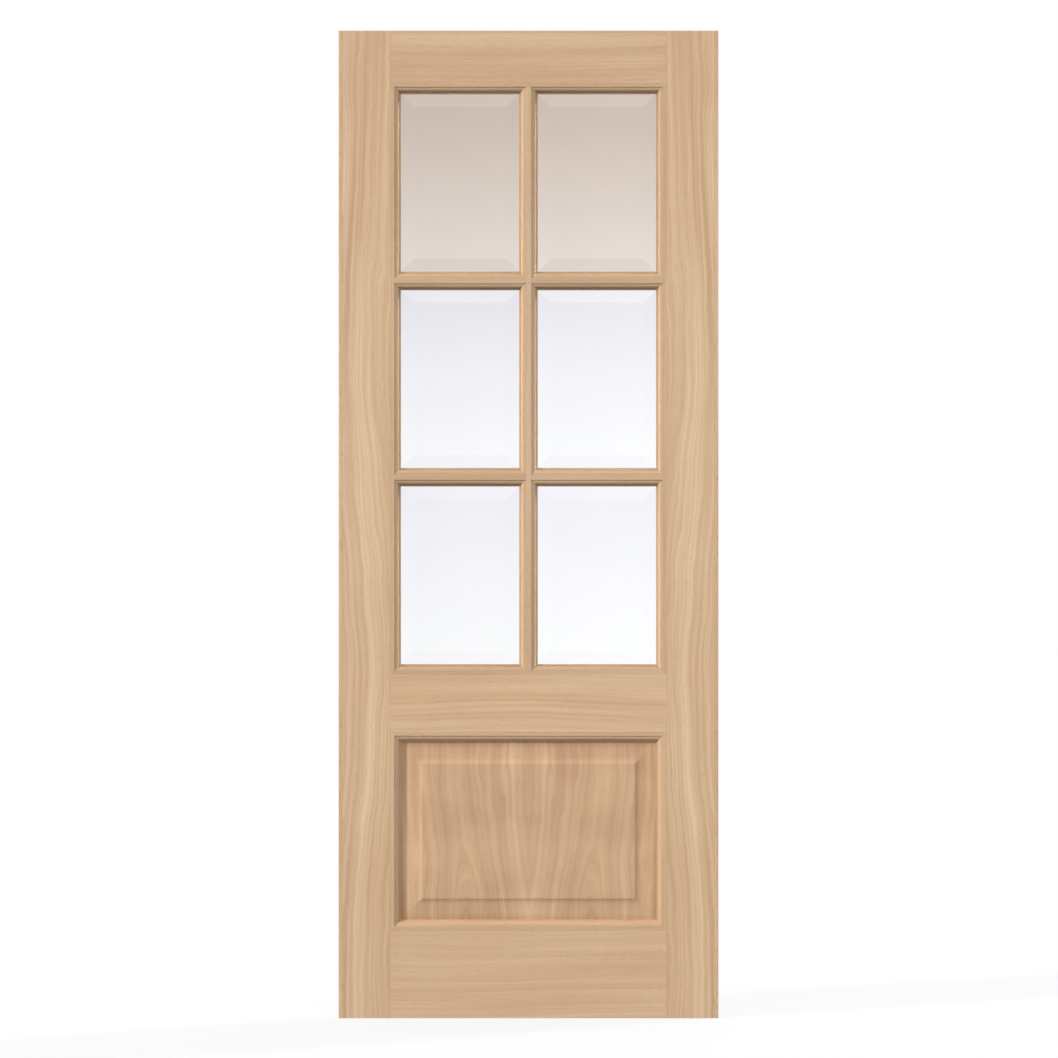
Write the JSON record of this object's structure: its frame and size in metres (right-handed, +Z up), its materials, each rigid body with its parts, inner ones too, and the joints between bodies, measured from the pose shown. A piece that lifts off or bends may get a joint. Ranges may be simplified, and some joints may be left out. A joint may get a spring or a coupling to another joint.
{
  "type": "glazed interior door leaf",
  "caption": "Oak interior door leaf with bevelled glass panes between slender glazing bars above a raised and fielded panel.",
  "frame": {"origin": "on the flat outer face of the hinge edge, at the leaf's foot and half way through its thickness", "axes": "+X across the leaf from the hinge edge to the lock edge, +Y through the leaf from its front to its beaded back, +Z up"},
  "size_m": [0.762, 0.035, 1.981],
  "materials": {
    "oak_veneer": "matte",
    "solid_oak": "matte",
    "panel_veneer": "matte",
    "clear_glass": "polished"
  },
  "bodies": {
    "root": {"hinge_stile": "oak_veneer", "lock_stile": "oak_veneer", "top_rail": "oak_veneer", "lock_rail": "oak_veneer", "bottom_rail": "oak_veneer", "hinge_edge_lipping": "solid_oak", "lock_edge_lipping": "solid_oak", "glazing_frame_hinge_side": "solid_oak", "glazing_frame_lock_side": "solid_oak", "glazing_frame_top": "solid_oak", "glazing_frame_bottom": "solid_oak", "panel_frame_hinge_side": "solid_oak", "panel_frame_lock_side": "solid_oak", "panel_frame_top": "solid_oak", "panel_frame_bottom": "solid_oak", "upright_glazing_bar": "solid_oak", "upper_glazing_bar_left": "solid_oak", "upper_glazing_bar_right": "solid_oak", "lower_glazing_bar_left": "solid_oak", "lower_glazing_bar_right": "solid_oak", "raised_panel": "panel_veneer", "top_left_pane": "clear_glass", "top_right_pane": "clear_glass", "middle_left_pane": "clear_glass", "middle_right_pane": "clear_glass", "bottom_left_pane": "clear_glass", "bottom_right_pane": "clear_glass", "beads_hinge_side": "solid_oak", "beads_lock_side": "solid_oak", "beads_top": "solid_oak", "beads_bottom": "solid_oak", "beads_upright_bar_top": "solid_oak", "beads_upright_bar_middle": "solid_oak", "beads_upright_bar_bottom": "solid_oak", "beads_upper_bar_left": "solid_oak", "beads_upper_bar_right": "solid_oak", "beads_lower_bar_left": "solid_oak", "beads_lower_bar_right": "solid_oak"}
  },
  "joints": []
}
